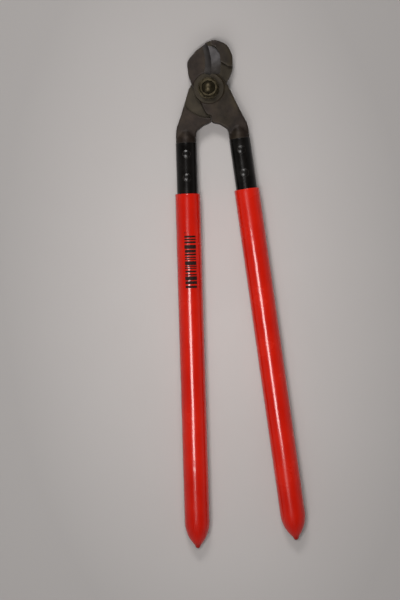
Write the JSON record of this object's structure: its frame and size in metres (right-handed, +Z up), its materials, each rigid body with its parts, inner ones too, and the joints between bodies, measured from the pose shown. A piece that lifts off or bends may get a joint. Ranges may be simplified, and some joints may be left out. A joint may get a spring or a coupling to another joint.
{
  "type": "two-handed bypass cutters",
  "caption": "Long-handled one-pivot bypass cutters with a hooked jaw, a ground shear blade, tubular handles and dipped plastic grips.",
  "frame": {"origin": "on the pivot axis, in the flat underside of the pivot bolt's head, which rests on the bench", "axes": "+Y from the pivot to the jaw tips, along the tool; +Z up from the bench, along the pivot axis; +X to the right handle's side when the tool is seen from above"},
  "size_m": [0.1442, 0.6011, 0.0369],
  "materials": {
    "forged_steel": "dark brown oxide on a forging, satin",
    "ground_steel": "ground and lightly oiled",
    "screw_steel": "black oxide",
    "zinc_hardware": "olive zinc, satin",
    "bush_bronze": "oiled bronze",
    "tube_paint": "black gloss paint",
    "plug_plastic": "moulded",
    "grip_vinyl": "glossy dipped vinyl"
  },
  "bodies": {
    "left_lever": {"back_jaw": "forged_steel", "shear_blade": "ground_steel", "blade_screws": "screw_steel", "pivot_bolt": "zinc_hardware", "pivot_washer": "zinc_hardware", "pivot_nut": "zinc_hardware", "left_tube": "tube_paint", "left_rivets": "tube_paint", "left_end_plug": "plug_plastic", "left_grip": "grip_vinyl"},
    "right_lever": {"front_jaw": "forged_steel", "pivot_bush": "bush_bronze", "right_tube": "tube_paint", "right_rivets": "tube_paint", "right_end_plug": "plug_plastic", "right_grip": "grip_vinyl"}
  },
  "joints": [
    {"name": "jaw_pivot", "type": "hinge", "parent": "left_lever", "child": "right_lever", "pos_m": [0, 0, 0.015], "axis": [0, 0, 1], "range_deg": [0, 55]}
  ]
}
